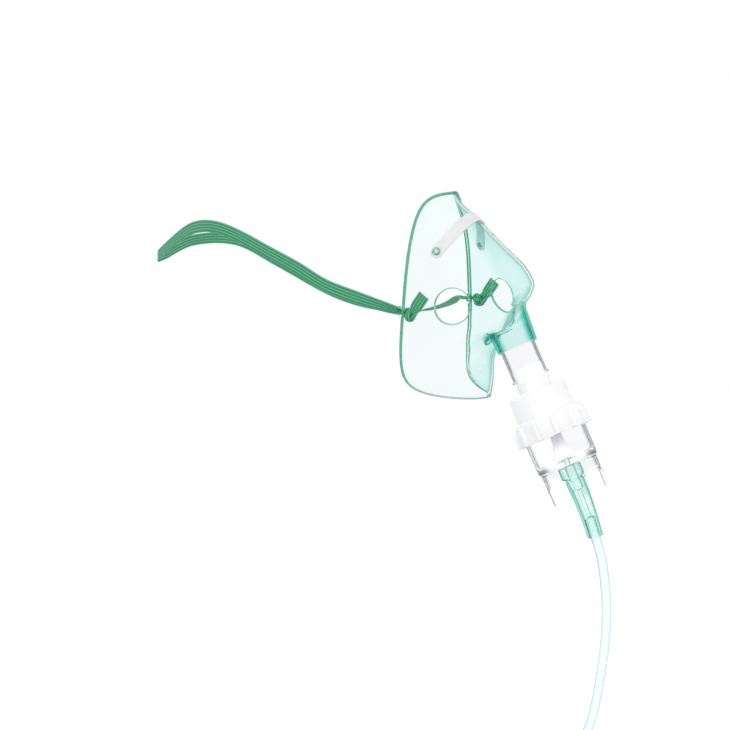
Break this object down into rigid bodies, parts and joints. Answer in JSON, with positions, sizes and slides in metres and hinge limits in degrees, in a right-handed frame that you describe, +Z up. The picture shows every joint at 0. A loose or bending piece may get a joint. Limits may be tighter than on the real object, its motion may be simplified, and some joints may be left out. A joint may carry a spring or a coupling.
{
  "type": "aerosol oxygen face mask with nebuliser",
  "caption": "Green-tinted clear aerosol mask with nose clip and ribbed elastic strap, a tilted jet nebuliser under its spout, and a supply tube that ends in a tied coil and a funnel connector.",
  "frame": {"origin": "middle of the mask's open back, at the height of the strap eyelets", "axes": "+Z up as worn, -Y the front of the mask, +X the wearer's left"},
  "size_m": [0.1734, 0.3314, 0.3791],
  "materials": {
    "mask_pvc": "clear soft PVC with a green tint",
    "nose_clip_metal": "soft aluminium, matt white coat",
    "elastic": "ribbed green elastic",
    "clear_neck": "clear moulded",
    "white_cap": "satin white moulded",
    "clear_jar": "clear moulded",
    "white_jet": "satin white moulded",
    "green_vinyl": "soft translucent green vinyl",
    "clear_tube": "clear soft vinyl with a faint green tint",
    "tie_paper": "white plastic-coated tie"
  },
  "bodies": {
    "mask": {"mask_shell": "mask_pvc", "nose_clip": "nose_clip_metal", "elastic_strap": "elastic", "outlet_neck": "clear_neck", "nebulizer_cap": "white_cap", "tube_connector": "green_vinyl", "oxygen_tube": "clear_tube", "tube_coil": "clear_tube", "coil_tie": "tie_paper", "source_connector": "green_vinyl"},
    "jar": {"nebulizer_jar": "clear_jar", "jet_sleeve": "white_jet"}
  },
  "joints": [
    {"name": "jar_twist", "type": "hinge", "parent": "mask", "child": "jar", "pos_m": [0, -0.0588, -0.0222], "axis": [0, -0.4726, -0.8813], "range_deg": [0, 60]}
  ]
}
